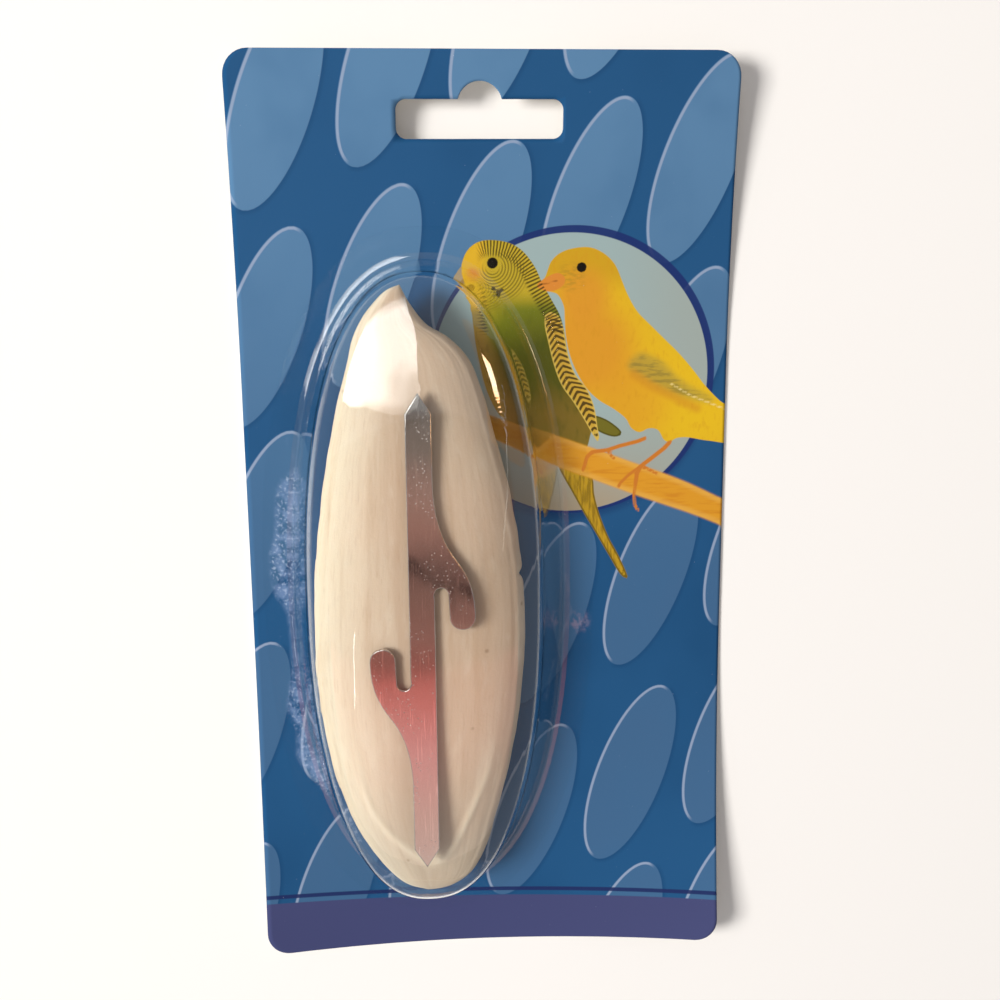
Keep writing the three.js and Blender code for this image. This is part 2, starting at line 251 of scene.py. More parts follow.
def card_grid():
    """x and y of the face's grid, and its cells. A row's half width is the card's, or that less
    r - (r^2 - d^2) ** 0.5 where it is d into an end whose corners are r round. The slot is a hole of
    whole cells whose rim vertices are moved onto quarter circles at its corners and onto the notch's
    arc along its top."""
    half_width, straight = CARD_WIDTH / 2, CARD_LENGTH / 2 - CORNER
    notch = (NOTCH_RADIUS**2 - (SLOT_TOP - NOTCH_Y) ** 2) ** 0.5
    bend = SLOT_CORNER
    columns = lines(
        (-half_width, SLOT_LEFT, 1.1), (SLOT_LEFT, SLOT_LEFT + bend, 0.25), (SLOT_LEFT + bend, -5.6, 0.6),
        (-5.6, NOTCH_X - notch, 0.6), (NOTCH_X - notch, NOTCH_X + notch, 0.5),
        (NOTCH_X + notch, SLOT_RIGHT - bend, 0.6), (SLOT_RIGHT - bend, SLOT_RIGHT, 0.25),
        (SLOT_RIGHT, half_width, 0.6),
    )
    ends = straight + CORNER * np.sin(np.linspace(0, np.pi / 2, 9))
    rows = np.unique(np.concatenate([
        -ends, lines((-straight, -12, 1.0), (-12, 60, 0.55), (60, SLOT_BOTTOM, 0.9),
                     (SLOT_BOTTOM, SLOT_BOTTOM + bend, 0.25), (SLOT_BOTTOM + bend, SLOT_TOP - bend, 0.6),
                     (SLOT_TOP - bend, SLOT_TOP, 0.25), (SLOT_TOP, straight, 0.8)), ends,
    ]).round(4))
    x, y = np.meshgrid(columns, rows)
    left, right = (np.searchsorted(columns, v) for v in (SLOT_LEFT, SLOT_RIGHT))
    low, high = (np.searchsorted(rows, v) for v in (SLOT_BOTTOM, SLOT_TOP))
    step = SLOT_CORNER * (1 - 0.5**0.5)

    def rounded(d):
        """Distance in from the slot's side at distance d along it from its corner."""
        return SLOT_CORNER - np.sqrt(np.maximum(0, SLOT_CORNER**2 - np.maximum(0, SLOT_CORNER - d) ** 2))

    def slid(d):
        """d, with its stretch at the corner closed up towards the corner's middle."""
        return np.where(d < SLOT_CORNER, step + d * (SLOT_CORNER - step) / SLOT_CORNER, d)

    span = slice(left, right + 1)
    inward = np.minimum(columns[span] - SLOT_LEFT, SLOT_RIGHT - columns[span])
    sign = np.where(columns[span] < NOTCH_X, 1, -1)
    rim_x = np.where(sign > 0, SLOT_LEFT, SLOT_RIGHT) + sign * slid(inward)
    turn = np.arcsin(np.clip(notch / NOTCH_RADIUS, -1, 1)) * (columns[span] - NOTCH_X) / notch
    in_notch = np.abs(columns[span] - NOTCH_X) <= notch + 1e-3
    top_x = np.where(in_notch, NOTCH_X + NOTCH_RADIUS * np.sin(turn), rim_x)
    top_y = np.where(in_notch, NOTCH_Y + NOTCH_RADIUS * np.cos(turn), SLOT_TOP - rounded(slid(inward)))
    fade = ((CARD_LENGTH / 2 - rows[high:]) / (CARD_LENGTH / 2 - SLOT_TOP))[:, None]
    x[high:, span] += (top_x - columns[span]) * fade
    y[high:, span] += (top_y - SLOT_TOP) * fade
    x[low, span], y[low, span] = rim_x, SLOT_BOTTOM + rounded(slid(inward))
    side = slice(low + 1, high)
    below, above = rows[side] - SLOT_BOTTOM, SLOT_TOP - rows[side]
    upward = slid(np.minimum(below, above))
    x[side, left], x[side, right] = SLOT_LEFT + rounded(upward), SLOT_RIGHT - rounded(upward)
    y[side, left] = np.where(below < above, SLOT_BOTTOM + upward, SLOT_TOP - upward)
    y[side, right] = y[side, left]
    half = half_width - CORNER + np.sqrt(np.maximum(0, CORNER**2 - np.maximum(0, np.abs(y) - straight) ** 2))
    x = x * half / half_width
    keep = np.ones((len(rows) - 1, len(columns) - 1), bool)
    keep[low:high, left:right] = False
    return x, y, grid_quads(len(rows), len(columns), keep)


x, y, cells = card_grid()
used, cells = np.unique(cells, return_inverse=True)
cells = cells.reshape(-1, 4)
x, y = x.ravel()[used], y.ravel()[used]

# The print: ovals in leaning rows, each with a pale line round its upper left.
OVAL_HALF, OVAL_LEAN, OVAL_STEP = (7.5, 21.3), np.radians(20.5), (21.9, 8.1)
OVAL_ROWS = [(-40.8, 85.5, 4), (-45, 42.3, 5), (-47, 1.5, 5), (-53, -43.5, 6), (-57, -88.6, 6),
             (-16, -113.4, 4)]
centres = np.array([
    (x0 + i * OVAL_STEP[0], y0 + i * OVAL_STEP[1]) for x0, y0, count in OVAL_ROWS for i in range(count)
])
reach_x, reach_y = x[:, None] - centres[:, 0], y[:, None] - centres[:, 1]
across = reach_x * np.cos(OVAL_LEAN) - reach_y * np.sin(OVAL_LEAN)
upward = reach_x * np.sin(OVAL_LEAN) + reach_y * np.cos(OVAL_LEAN)
share = np.hypot(across / OVAL_HALF[0], upward / OVAL_HALF[1]) + 1e-6
slope = np.hypot(across / OVAL_HALF[0] ** 2, upward / OVAL_HALF[1] ** 2) + 1e-9
depth = share * (1 - share) / slope
nearest = depth.argmax(1)
row = np.arange(len(x))
oval = depth[row, nearest]
lit_side = ((-across * 0.94 / OVAL_HALF[0] ** 2 + upward * 0.34 / OVAL_HALF[1] ** 2) / slope)[row, nearest]


def spline(before, start, end, beyond, each):
    """Points on a Catmull-Rom spline, as many as each says from every start towards its end: the
    line's direction at a point is half the step between the points before and after it."""
    t = (np.arange(each) / each)[:, None]
    a, b, c, d = (points[:, None] for points in (before, start, end, beyond))
    curve = b + 0.5 * t * (c - a + t * (2 * a - 5 * b + 4 * c - d + t * (3 * (b - c) + d - a)))
    return curve.reshape(-1, 2)


FAR_OUT = 6.0


def inside(points, each=6):
    """How far each grid point is inside the closed smooth line through the points, minus outside, no
    further than FAR_OUT, and how far along the line its nearest point lies. A point is inside if a
    ray to its right crosses the line an odd number of times."""
    p = np.array(points, float)
    a = spline(np.roll(p, 1, 0), p, np.roll(p, -1, 0), np.roll(p, -2, 0), each)
    b = np.roll(a, -1, 0)
    step = b - a
    length = np.hypot(*step.T) + 1e-9
    low, high = a.min(0) - FAR_OUT, a.max(0) + FAR_OUT
    near = (x > low[0]) & (x < high[0]) & (y > low[1]) & (y < high[1])
    px, py = x[near][:, None], y[near][:, None]
    t = np.clip(((px - a[:, 0]) * step[:, 0] + (py - a[:, 1]) * step[:, 1]) / length**2, 0, 1)
    away = np.hypot(px - a[:, 0] - t * step[:, 0], py - a[:, 1] - t * step[:, 1])
    rise = np.where(np.abs(step[:, 1]) < 1e-9, 1e-9, step[:, 1])
    crosses = ((a[:, 1] > py) != (b[:, 1] > py)) & (px < a[:, 0] + (py - a[:, 1]) * step[:, 0] / rise)
    best = away.argmin(1)
    here = np.arange(len(best))
    start = np.concatenate([[0], np.cumsum(length)[:-1]])
    distance, along = np.full(len(x), -FAR_OUT), np.zeros(len(x))
    distance[near] = np.where(crosses.sum(1) % 2 == 1, 1, -1) * away[here, best]
    along[near] = start[best] + t[here, best] * length[best]
    return distance, along


def ribbon(*paths):
    """How far each grid point is inside a stroke of half width w along any of the paths (w, points)."""
    found = np.full(len(x), -FAR_OUT)
    for half, points in paths:
        p = np.array(points, float)
        a, step = p[:-1], np.diff(p, axis=0)
        t = np.clip(((x[:, None] - a[:, 0]) * step[:, 0] + (y[:, None] - a[:, 1]) * step[:, 1])
                    / (step**2).sum(1), 0, 1)
        away = np.hypot(x[:, None] - a[:, 0] - t * step[:, 0], y[:, None] - a[:, 1] - t * step[:, 1])
        found = np.maximum(found, half - away.min(1))
    return found


# The birds and their perch, drawn for this card: a green budgerigar and a yellow canary.
BUDGIE = [(-5.1, 53), (-4.9, 55), (-3.8, 57.4), (-1.7, 59), (1.1, 59.4), (4.6, 58.8), (7.4, 57.1),
          (9.8, 54), (11.3, 50.8), (13.2, 47.5), (15, 44.2), (16, 40.4), (16.7, 36), (18.1, 32.2),
          (20.4, 29.2), (22, 25.5), (22, 22), (21.4, 19.2), (20.6, 16.6), (18.6, 15.6), (15.2, 17.2),
          (11.2, 20), (7.4, 21.3), (4, 22.6), (1.6, 25.3), (-0.3, 29.6), (-1.5, 34.4), (-2.4, 39.2),
          (-2.8, 43), (-3.3, 47.2), (-4.5, 50.5)]
WING = [(12.2, 44.8), (14.4, 44.4), (15.7, 41.8), (16.2, 39), (16.8, 36), (18.2, 32.2), (20.6, 29.2),
        (22.2, 25.4), (22.9, 21.5), (23.4, 17.8), (22, 19.5), (20.3, 22.5), (17.9, 26.4), (15.4, 30),
        (13.8, 34.2), (12.6, 39), (11.9, 42.3)]
LONG_FEATHER = [(22.2, 23.4), (25, 22.5), (27.7, 20.4), (27.9, 19.3), (26.2, 19), (23.5, 20), (22.3, 21.2)]
TAIL = [(14.9, 12.9), (17.1, 12.6), (21.6, 11), (22.4, 6.6), (23.5, 2.5), (25.5, -2.6), (27.7, -6.7),
        (29.8, -11.6), (28.2, -10.9), (25.7, -6.7), (22.7, -1.5), (20, 3.1), (17.5, 7.7), (15.8, 10.7)]
CANARY = [(10.2, 50.4), (11.8, 51.8), (12.5, 53.6), (13.2, 55.2), (15, 56.8), (17.8, 57.7), (21.1, 57.8),
          (24, 56.5), (26.2, 54.3), (27.7, 51.1), (29, 48.2), (31, 44.9), (33.9, 42), (36.9, 39.1),
          (40, 36.1), (43, 32.7), (45.7, 29.3), (49, 26), (52, 24), (52, 17.6), (46.8, 17.7), (42.3, 18.5),
          (39.8, 18.4), (38.4, 17.6), (37.1, 18.1), (35.8, 20.2), (33.8, 20.6), (31.9, 19.8), (30.1, 20.8),
          (28.9, 22.8), (26.4, 24.8), (23.4, 26.6), (21, 28.8), (19, 31.8), (17.3, 35.6), (16.3, 39.9),
          (16, 43.7), (15.8, 46.1), (14.6, 48.4), (12.9, 49.1), (11.2, 49.5)]
CANARY_WING = [(29.7, 34), (31.6, 35.9), (34.1, 35.3), (36.6, 33.9), (38.8, 31.6), (42, 29.2), (47, 26.4),
               (42, 27), (36.7, 29), (33.2, 31), (30.7, 32.5)]
BEAK = [(10.2, 50.4), (12.2, 52), (14.4, 52.8), (15.8, 52.1), (15.9, 50.7), (14.6, 49.6), (12.9, 49.1),
        (11.2, 49.5)]
PERCH = [(-4.7, 25.4), (0.1, 23.9), (4, 22.5), (11.2, 20.3), (21.6, 16.7), (30, 13.5), (36, 11.3),
         (42.6, 8.6), (48.9, 5.5), (53, 3.4), (53, -2.2), (49.1, -0.2), (42.2, 2.6), (32.1, 6.2),
         (21.6, 10.3), (15.2, 12.7), (3.4, 18.2), (0.1, 19.8), (-4.8, 21.5)]
LEGS = [(0.36, [(33.1, 18.5), (31.6, 17.9), (27.8, 17), (25.2, 16.2), (21.9, 15.8), (20.8, 14.8),
                (20, 12)]),
        (0.28, [(25.2, 16.2), (25.9, 14.9), (26.5, 14.4)]),
        (0.4, [(38.4, 17.6), (37.2, 16.3), (34.6, 14.3), (32.3, 12.6), (31.5, 11.1), (31.2, 9)]),
        (0.3, [(31.2, 9), (30.9, 6.4), (31.1, 4.2), (31.8, 3.1)]),
        (0.28, [(32.3, 12.6), (29.6, 10.7), (27.9, 9), (27.5, 8.2)]),
        (0.28, [(32.3, 12.6), (34.3, 11.7), (35.8, 10.8)])]


def within(radius, px, py):
    """How far inside the circle round px, py each point is."""
    return radius - np.hypot(x - px, y - py)


budgie, budgie_along = inside(BUDGIE)
wing = inside(WING)[0]
# The disc behind the birds, the spots on the budgerigar's throat, and the clouded seal.
DISC_X, DISC_Y, DISC_RADIUS = 17.3, 32.1, 28.7
SPOTS = [(0.55, 1.3, 49.7), (0.6, 2.3, 49), (0.4, 3.2, 49.5), (0.5, 2.2, 48.3), (0.3, 0.7, 47.1),
         (0.25, 1.3, 46.6)]
SEAL = [(-41.1, 19.7), (-39.9, 14.1), (-43.6, 9.9), (-44.6, 0.2), (-45.9, -5.5), (-45.2, -12.7),
        (-42.7, -18), (-42.3, -29.1), (-43.6, -38), (-41.9, -43.9), (-41.9, -50.1), (-38.5, -54.8),
        (-33.7, -60.4), (-29.7, -70.1), (-34, -59), (-36.5, -52), (-39.6, -44), (-40.6, -30),
        (-41.2, -14.3), (-39.6, -2), (-39.2, 12)]

# Distances over the card that its inks are limited by. A shape's is above 0 inside it, and
# a run is what bars are spaced along.
FIELDS = {
    "east": x,
    "north": y,
    "foot": -(y + 0.026 * x),
    "oval": oval,
    "lit_side": lit_side,
    "disc": within(DISC_RADIUS, DISC_X, DISC_Y),
    "disc_ring": within(DISC_RADIUS + 1, DISC_X + 0.45, DISC_Y + 0.45),
    "disc_shade": within(DISC_RADIUS + 0.9, DISC_X, DISC_Y - 1),
    "perch": inside(PERCH, 2)[0],
    "tail": inside(TAIL)[0],
    "long_feather": inside(LONG_FEATHER)[0],
    "legs": ribbon(*LEGS),
    "budgie": budgie,
    "budgie_run": budgie_along,
    # Round the budgerigar's lower right, by the dome's right wall: partly the bird's own shading, partly
    # painted shade of the wall.
    "budgie_side": within(11, 11.5, 32),
    "cere": within(1.35, -2.9, 52.5),
    "cheek": within(4.6, 3.4, 52.2),
    "cheek_run": -within(0, 1.2, 54),
    "eye_ring": within(1.9, 1.2, 54.9),
    "spots": np.maximum.reduce([within(*spot) for spot in SPOTS]),
    "wing": wing,
    "wing_run": 0.32 * x - 0.95 * y + 0.8 * wing,
    "canary": inside(CANARY)[0],
    "breast": within(9.5, 20.5, 37),
    "throat": within(5.2, 19.6, 48.2),
    "belly": within(8, 30.5, 26.5),
    "ear": within(2.6, 17.2, 52),
    "grey_wing": inside(CANARY_WING)[0],
    "wing_line": ribbon((0.22, [(38.2, 30), (42.5, 27.4), (48.9, 24.8), (52, 23.6)])),
    "under_wing": ribbon((0.9, [(30.5, 32), (34, 29.6), (38, 27.6), (44, 24.6)])),
    "beak": inside(BEAK)[0],
    "beak_line": ribbon((0.1, [(10.6, 50.5), (12.6, 50.8), (14.4, 51.3)])),
    "eyes": np.maximum(within(1.12, 1.2, 54.9), within(1.02, 19.35, 53.9)),
    "eye_lights": np.maximum(within(0.22, 0.8, 55.35), within(0.2, 19.05, 54.3)),
    "seal": inside(SEAL)[0],
    "seal_line": ribbon((0.3, [(-38.5, -54.8), (-33.7, -60.4), (-29.7, -70.1)])),
    "smear": within(2.1, 19.3, -21.2),
    "smear_line": ribbon((0.16, [(16.4, -10.6), (17.5, -19.1), (15.1, -25), (13.1, -31.8), (11.8, -38.6)])),
}
# The inks from the first to the last: colour, strength, limits, pattern. A limit is a field and
# the distances where the ink is gone and is full. A pattern is the width, height and two limits
# of a grain, or the field that bars run across and their spacing, a little coarser than real ones.
PRINT = [
    # The blue ground and the ovals, with a thin wash of black over both.
    ("#1c5180", 0.8, [], (38, 45, 0.42, 0.7)),
    ("#164877", 0.6, [("oval", -1.2, 0), ("lit_side", 0.1, -0.5)], ()),
    ("#436c96", 1, [("oval", -0.12, 0.12)], ()),
    ("#608db6", 0.95, [("oval", -0.12, 0.12), ("north", -20, 100)], ()),
    ("#3f6d99", 0.35, [("oval", -0.12, 0.12)], (25, 30, 0.45, 0.7)),
    ("#a3b3d0", 0.8, [("oval", 0, 0.22), ("oval", 0.8, 0.5), ("lit_side", -0.2, 0.5)], ()),
    ("#000000", 0.08, [], ()),
    # The disc behind the birds.
    ("#14386a", 0.6, [("disc_shade", -1, 1)], ()),
    ("#1a2f6c", 0.95, [("disc_ring", -0.12, 0.12)], ()),
    ("#9db3b4", 1, [("disc", -0.12, 0.12)], ()),
    ("#a8957a", 1, [("disc", -0.12, 0.12), ("north", 28, -2)], ()),
    ("#a0aaa4", 0.8, [("disc", -0.12, 0.12), ("east", 21, 45)], ()),
    # The budgerigar, from its tail up.
    ("#bd9624", 1, [("tail", -0.12, 0.12)], ()),
    ("#6d5716", 0.6, [("tail", 0.08, 0.32)], (0.7, 5, 0.42, 0.6)),
    ("#494112", 0.75, [("tail", -0.12, 0.12), ("tail", 0.45, 0.2)], ()),
    ("#716b23", 1, [("long_feather", -0.12, 0.12)], ()),
    ("#45410f", 0.7, [("long_feather", -0.12, 0.12), ("long_feather", 0.45, 0.2)], ()),
    ("#777d1d", 1, [("budgie", -0.12, 0.12)], ()),
    # Partly the bird's printed shading, partly painted shade of the dome's right wall: the body darkens
    # round its lower right.
    ("#4b4b10", 0.92, [("budgie", -0.12, 0.12), ("budgie_side", -7, 7)], ()),
    # Browner towards the lower body: partly print, partly a painted brown reflection of the dome's wall.
    ("#7c6226", 0.85, [("budgie", -0.12, 0.12), ("north", 33, 23)], ()),
    ("#a98c42", 0.8, [("budgie", -0.12, 0.12), ("budgie", 4.2, 1), ("east", 5.2, 2),
                      ("north", 49, 45)], ()),
    ("#3f4810", 0.5, [("budgie", 0.2, 0.45)], (1.6, 4, 0.5, 0.75)),
    ("#c3a82c", 1, [("budgie", -0.12, 0.12), ("north", 45, 49.8)], ()),
    ("#e3b32a", 1, [("budgie", -0.12, 0.12), ("east", 1.1, -1.9), ("north", 44.5, 47.5)], ()),
    ("#d98a35", 0.9, [("budgie", -0.12, 0.12), ("cere", -0.7, 0.7)], ()),
    # The perch, its left part below the budgerigar darkened with painted shade of the dome, and the folded
    # wing that lies over it.
    ("#dc9a2a", 1, [("perch", -0.5, 0.25)], ()),
    ("#c5771f", 0.5, [("perch", -0.12, 0.12)], (7, 0.9, 0.45, 0.7)),
    ("#e9b95c", 0.45, [("perch", -0.12, 0.12), ("perch", 1.5, 0.3)], ()),
    # Painted shade of the dome: the perch darkens towards the left, where the dome covers it.
    ("#8a5a1c", 0.65, [("perch", -0.5, 0.25), ("east", 23, 10)], ()),
    ("#c9a23a", 1, [("wing", -0.12, 0.12)], ()),
    ("#d9bd5c", 0.7, [("wing", -0.12, 0.12), ("wing", 0.6, 0.15)], ()),
    # The canary, its wing, beak and legs.
    ("#e2b522", 1, [("canary", -0.12, 0.12)], ()),
    ("#c99a1f", 0.8, [("canary", -0.12, 0.12), ("north", 47, 54)], ()),
    ("#db962a", 0.9, [("canary", -0.12, 0.12), ("breast", -4.5, 4.5)], ()),
    ("#db952c", 0.85, [("canary", -0.12, 0.12), ("throat", -2.8, 2.8)], ()),
    ("#dd9b27", 0.7, [("canary", -0.12, 0.12), ("belly", -4, 4)], ()),
    ("#e8bf20", 0.7, [("canary", -0.12, 0.12), ("east", 28, 46), ("north", 14, 22)], ()),
    ("#cf9020", 0.35, [("canary", -0.12, 0.12)], (0.9, 2.2, 0.5, 0.75)),
    ("#a58328", 0.5, [("canary", -0.12, 0.12), ("ear", -1.4, 1.4)], (1.6, 0.6, 0.38, 0.62)),
    ("#a9953f", 0.7, [("canary", -0.12, 0.12), ("grey_wing", -1.5, 0.9)], ()),
    ("#857637", 0.6, [("canary", -0.12, 0.12), ("grey_wing", -0.8, 0.8)], (3.5, 0.7, 0.45, 0.6)),
    ("#ecd78c", 0.8, [("wing_line", -0.15, 0.12)], ()),
    ("#d08f24", 0.6, [("under_wing", -0.8, 0.8)], ()),
    ("#d98a36", 1, [("beak", -0.12, 0.12)], ()),
    ("#9c5d24", 0.8, [("beak_line", -0.2, 0.05)], ()),
    ("#cb7a2c", 1, [("legs", -0.2, 0.1)], ()),
    # The line and the band along the card's foot.
    ("#1e2d60", 0.95, [("foot", 82.33, 82.57), ("foot", 83.47, 83.23)], ()),
    ("#444a76", 1, [("foot", 84.28, 84.52)], ()),
    # The birds' fine dark marks, with a thin wash of black over the whole print.
    ("#1f1c10", 0.9, [("spots", -0.12, 0.12)], ()),
    ("#130f0b", 1, [("eyes", -0.12, 0.12)], ()),
    ("#cfc8b4", 0.9, [("eye_lights", -0.12, 0.12)], ()),
    ("#3a3214", 0.85, [("budgie", -0.12, 0.12), ("budgie", 3.6, 2.6), ("east", -2.4, -0.4),
                       ("north", 40, 42)], ("budgie_run", 0.7)),
    ("#4b4416", 0.6, [("budgie", -0.12, 0.12), ("cheek", -1, 1), ("eye_ring", 0.5, -0.5)],
     ("cheek_run", 0.62)),
    ("#3a2c14", 0.9, [("wing", 0.05, 0.3), ("north", 45, 43)], ("wing_run", 1.25)),
    ("#000000", 0.1, [], ()),
    # Heat sealing has clouded the varnish: specks along the left of the dome, a smear to its right.
    ("#8aa3cf", 0.5, [("seal", -0.9, 1.3)], (2.2, 2.8, 0.35, 0.62)),
    ("#bccbe6", 0.5, [("seal", -0.6, 0.7)], (0.7, 0.7, 0.5, 0.72)),
    ("#b9c4dc", 0.7, [("seal_line", -0.6, 0.6)], (0.6, 0.6, 0.4, 0.6)),
    ("#8b7f98", 0.7, [("smear", -1.2, 1.2)], (1.2, 1.6, 0.4, 0.65)),
    ("#7b86a0", 0.5, [("smear_line", -0.6, 0.6)], (2, 3, 0.35, 0.55)),
    ("#c9d2e2", 0.5, [], (0.5, 0.5, 0.74, 0.8)),
]

# Printed paperboard: offset inks under a satin varnish, so flat colours with crisp
# edges, the board's fibres of 0.7 mm faintly raised and a soft shine.
printed, tree = new_material("offset_printed_varnished_board")
spot = (add(tree, "TexCoord"), "Object")
face = add(tree, "RGB")
face.outputs[0].default_value = linear("#22598a")
fields = {name: add(tree, "Attribute", attribute_name=name, attribute_type="GEOMETRY") for name in FIELDS}
for ink, strength, limits, pattern in PRINT:
    mask = strength
    for name, gone, full in limits:
        edge = add(tree, "MapRange", [(fields[name], "Fac"), gone, full], interpolation_type="SMOOTHSTEP")
        mask = add(tree, "Math", [mask, edge], operation="MULTIPLY")
    if len(pattern) == 4:
        wide, tall, low, high = pattern
        size = add(tree, "VectorMath", [spot, (1000 / wide, 1000 / tall, 1)], operation="MULTIPLY")
        noise = add(tree, "TexNoise", {"Vector": size, "Scale": 1.0, "Detail": 3.0})
        broken = add(tree, "MapRange", [(noise, "Fac"), low, high], interpolation_type="SMOOTHSTEP")
        mask = add(tree, "Math", [mask, broken], operation="MULTIPLY")
    if len(pattern) == 2:
        run, spacing = pattern
        turn = add(tree, "Math", [(fields[run], "Fac"), 2 * np.pi / spacing], operation="MULTIPLY")
        wave = add(tree, "Math", [turn], operation="SINE")
        bar = add(tree, "MapRange", [wave, -0.3, 0.4], interpolation_type="SMOOTHSTEP")
        mask = add(tree, "Math", [mask, bar], operation="MULTIPLY")
    face = add(tree, "Mix", {0: mask, 6: face, 7: linear(ink)}, data_type="RGBA")
size = add(tree, "VectorMath", [spot, (1400, 1400, 1)], operation="MULTIPLY")
fibre = add(tree, "TexNoise", {"Vector": size, "Scale": 1.0, "Detail": 3.0})
board_bump = add(tree, "Bump", {"Strength": 0.1, "Distance": 0.00004, "Height": (fibre, "Fac")})
surface = add(tree, "BsdfPrincipled", {
    "Base Color": face, "Roughness": 0.42, "Normal": board_bump, "Specular IOR Level": 0.12,
})
add(tree, "OutputMaterial", [surface])

# The same board unprinted: a dull grey-white recycled back with flecks of pulp of 1.5 mm
# and lint of 0.6 mm, and the white cut edge with its plies.
board_back, tree = new_material("grey_white_board_back")
spot = (add(tree, "TexCoord"), "Object")
pulp = add(tree, "TexNoise", {"Vector": spot, "Scale": 650.0, "Detail": 4.0})
fibre = add(tree, "ValToRGB", [(pulp, "Fac")], stops=[[0.35, "#c9c4b9"], [0.65, "#dedacf"]])
lint = add(tree, "TexNoise", {"Vector": spot, "Scale": 1600.0, "Detail": 3.0})
fibre_bump = add(tree, "Bump", {"Strength": 0.2, "Distance": 0.00005, "Height": (lint, "Fac")})
add(tree, "OutputMaterial", [
    add(tree, "BsdfPrincipled", {"Base Color": fibre, "Roughness": 0.85, "Normal": fibre_bump})])
board_edge, tree = new_material("die_cut_board_edge")
spot = (add(tree, "TexCoord"), "Object")
plies = add(tree, "TexNoise", {"Vector": spot, "Scale": 2500.0, "Detail": 2.0})
core = add(tree, "ValToRGB", [(plies, "Fac")], stops=[[0.3, "#d2d0cc"], [0.7, "#efeeea"]])
add(tree, "OutputMaterial", [add(tree, "BsdfPrincipled", {"Base Color": core, "Roughness": 0.8})])

card = mesh_object(
    "card_printed", np.stack([x, y, curl(x, y) + BOARD], 1), cells, [printed, board_back, board_edge]
)


def give_points(made, name, values):
    """Stores a value for each of the mesh's points, which its material reads."""
    attribute = made.data.attributes.new(name, "FLOAT", "POINT")
    attribute.data.foreach_set("value", values.astype(np.float32))


for name, values in FIELDS.items():
    give_points(card, name, values)
board = card.modifiers.new("board", "SOLIDIFY")
board.thickness, board.offset = BOARD * MM, -1
board.material_offset, board.material_offset_rim = 1, 2
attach(card, "root")
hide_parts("card")

# ---------------------------------------------------------------------------
# Cuttlebone: the whole internal shell of a cuttlefish, one piece of light
# chalk in fine layers, crowned above, with a smoother yellowish rim and a
# hard, shallow, granular back. Its tip is chipped off slantwise.
# The left and right edges go from the low end to the tip.
BONE_LEFT = [(-14.6, -76.9), (-19.6, -74.9), (-24.4, -69.9), (-29.2, -62), (-31.8, -55.6), (-34, -48),
             (-36, -36.5), (-36.8, -24), (-36.4, -10), (-35.1, 2.4), (-33.2, 14.5), (-30.4, 28),
             (-28, 36.5), (-26.7, 41.5), (-24.4, 45.6), (-20.6, 49.7), (-17.6, 51)]
BONE_RIGHT = [(-14.6, -76.9), (-9.2, -75.9), (-4.6, -72.4), (-1.6, -66.5), (0.6, -59), (3.2, -48.8),
              (5.3, -37), (6.6, -23), (6.5, -11), (5.6, -2), (3.6, 10), (1, 20), (-1.7, 30),
              (-4.2, 36.2), (-8.2, 40.6), (-12.6, 43.4), (-15.6, 47.3), (-17.6, 51)]
BONE_UNDERSIDE, BONE_RIM, BONE_TOP, LOW_RISE, TIP_RISE = 0.8, 8.4, 16, 1, 0.6
RIM_WIDTH, RIM_STEP = 1.5, 0.16
NICK_X, NICK_Y = 6.6, -7.5
STATIONS, ROUND = 400, 216


def edge_x(points, at):
    """x of the smooth edge line at each y, from a spline through its points."""
    p = np.array(points, float)
    p = np.concatenate([[2 * p[0] - p[1]], p, [2 * p[-1] - p[-2]]])
    curve = np.concatenate([spline(p[:-3], p[1:-2], p[2:-1], p[3:], 16), p[-2:-1]])
    return np.interp(at, curve[:, 1], curve[:, 0])


def wander(u, v, seed):
    """A smooth random surface, mostly between -1 and 1: a sum of 24 sine waves over u and v, whose
    directions and phases come from the seed."""
    count = 24
    draw = np.random.default_rng(seed)
    fu, fv = draw.normal(0, 1, (2, count))
    phase = draw.uniform(0, 2 * np.pi, count)
    waves = np.sin(u[..., None] * fu + v[..., None] * fv + phase)
    return waves.sum(-1) / (count / 2) ** 0.5 / 2


